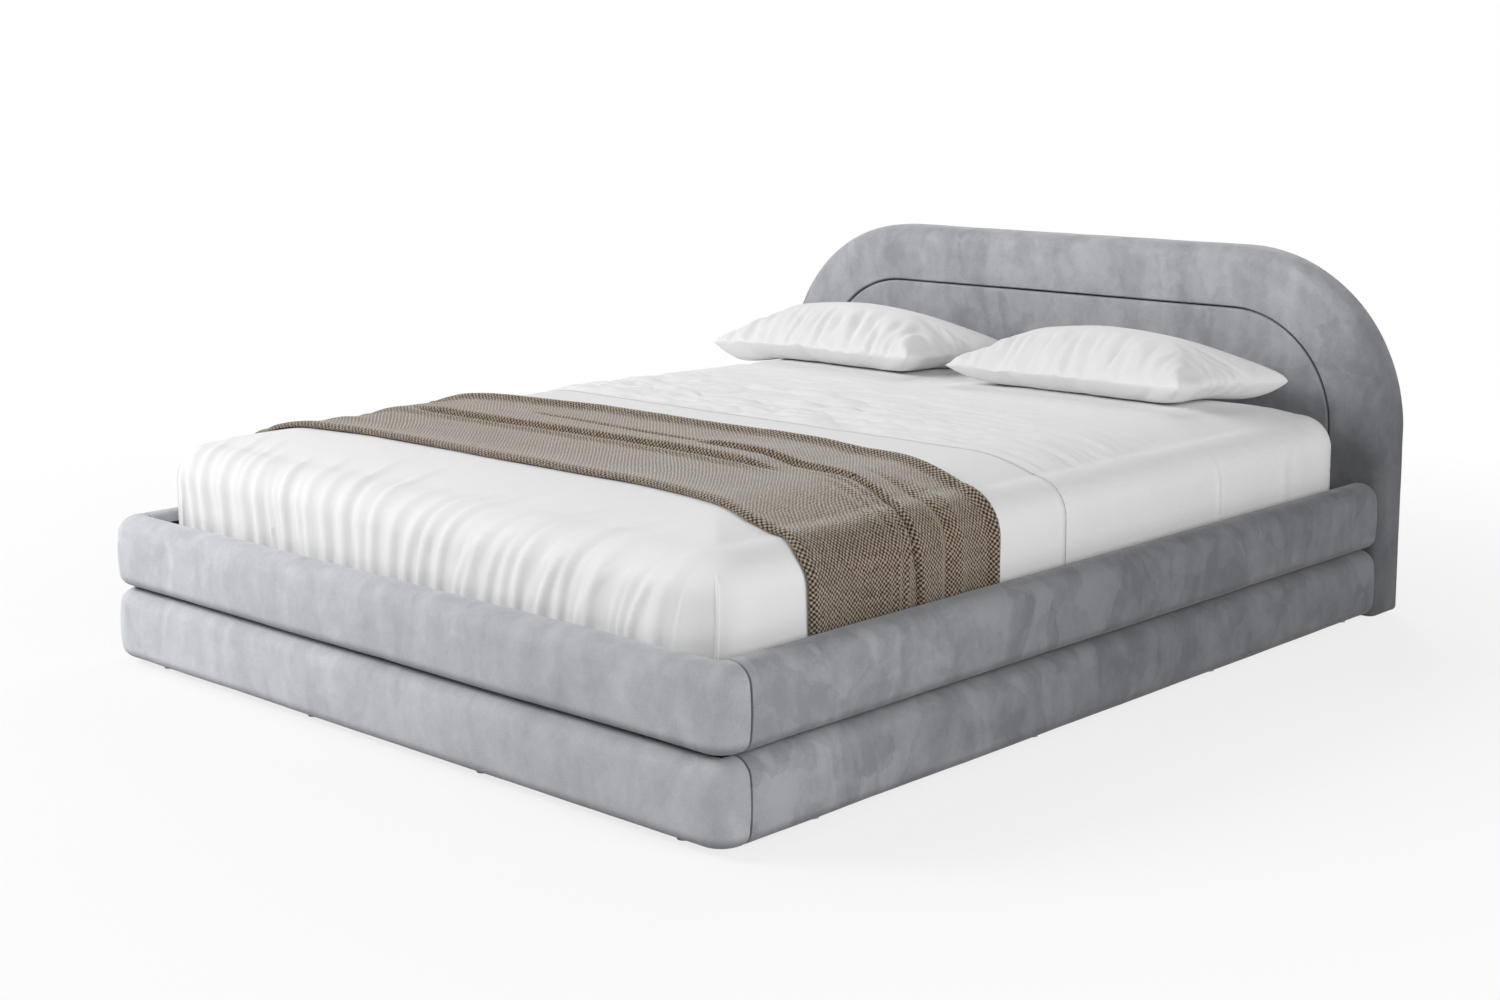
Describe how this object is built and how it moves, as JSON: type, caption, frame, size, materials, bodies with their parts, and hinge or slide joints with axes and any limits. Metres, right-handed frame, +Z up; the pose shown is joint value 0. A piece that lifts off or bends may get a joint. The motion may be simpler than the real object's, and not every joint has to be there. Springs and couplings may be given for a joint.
{
  "type": "upholstered bed",
  "caption": "Upholstered platform bed with stacked padded tiers, a low round-shouldered headboard, a slatted base, a mattress, sheets, a throw and pillows.",
  "frame": {"origin": "on the floor, under the middle of the bed's outline", "axes": "+Z up, +Y from the foot towards the headboard, +X towards the right side seen from the foot"},
  "size_m": [1.8, 2.22, 0.825],
  "materials": {
    "grey_velvet": "short-pile velvet with brushed patches",
    "black_lining": "non-woven polypropylene",
    "pine": "planed, unfinished",
    "slat_birch": "sanded",
    "plywood": "unfinished plywood",
    "zinc_steel": "zinc plated",
    "black_nylon": "moulded nylon",
    "webbing": "woven polyester tape",
    "mattress_ticking": "knitted ticking",
    "cotton_percale": "plain-weave cotton",
    "throw_knit": "coarse two-tone weave",
    "pillow_cotton": "plain-weave cotton"
  },
  "bodies": {
    "frame": {"headboard_border_cushion": "grey_velvet", "headboard_centre_cushion": "grey_velvet", "headboard_panel": "plywood", "headboard_frame": "pine", "headboard_back_cover": "black_lining", "headboard_mounting_board": "pine", "headboard_glides": "black_nylon", "headboard_bolts": "zinc_steel", "headboard_tee_nuts": "zinc_steel", "foot_rail_cover": "grey_velvet", "side_rail_cover_left": "grey_velvet", "side_rail_cover_right": "grey_velvet", "foot_rail_board": "pine", "side_rail_board_left": "pine", "side_rail_board_right": "pine", "head_rail_board": "pine", "rail_linings": "black_lining", "foot_plinth_cover": "grey_velvet", "side_plinth_cover_left": "grey_velvet", "side_plinth_cover_right": "grey_velvet", "foot_plinth_board": "pine", "side_plinth_board_left": "pine", "side_plinth_board_right": "pine", "head_plinth_board": "pine", "base_glides": "black_nylon", "corner_brackets": "zinc_steel", "bracket_screws": "zinc_steel", "side_ledger_left": "pine", "side_ledger_right": "pine", "foot_ledger": "pine", "head_ledger": "pine", "ledger_screws": "zinc_steel", "slats": "slat_birch", "slat_tapes": "webbing", "centre_beam": "pine", "beam_hangers": "zinc_steel", "hanger_screws": "zinc_steel", "centre_legs": "pine", "leg_bolts": "zinc_steel", "threaded_inserts": "zinc_steel"},
    "mattress": {"mattress": "mattress_ticking", "fitted_sheet": "cotton_percale", "top_sheet": "cotton_percale"},
    "throw": {"throw_blanket": "throw_knit"},
    "pillow_left": {"pillow_left": "pillow_cotton"},
    "pillow_right": {"pillow_right": "pillow_cotton"},
    "foot_front": {"levelling_foot_front": "black_nylon"},
    "foot_middle": {"levelling_foot_middle": "black_nylon"},
    "foot_rear": {"levelling_foot_rear": "black_nylon"}
  },
  "joints": [
    {"name": "mattress_lift", "type": "slide", "parent": "frame", "child": "mattress", "axis": [0, 0, 1], "range_m": [0, 0.5]},
    {"name": "throw_lift", "type": "slide", "parent": "mattress", "child": "throw", "axis": [0, 0, 1], "range_m": [0, 0.35]},
    {"name": "pillow_left_lift", "type": "slide", "parent": "mattress", "child": "pillow_left", "axis": [0, 0, 1], "range_m": [0, 0.4]},
    {"name": "pillow_right_lift", "type": "slide", "parent": "mattress", "child": "pillow_right", "axis": [0, 0, 1], "range_m": [0, 0.4]},
    {"name": "foot_front_screw", "type": "slide", "parent": "frame", "child": "foot_front", "axis": [0, 0, -1], "range_m": [0, 0.015]},
    {"name": "foot_middle_screw", "type": "slide", "parent": "frame", "child": "foot_middle", "axis": [0, 0, -1], "range_m": [0, 0.015]},
    {"name": "foot_rear_screw", "type": "slide", "parent": "frame", "child": "foot_rear", "axis": [0, 0, -1], "range_m": [0, 0.015]}
  ]
}
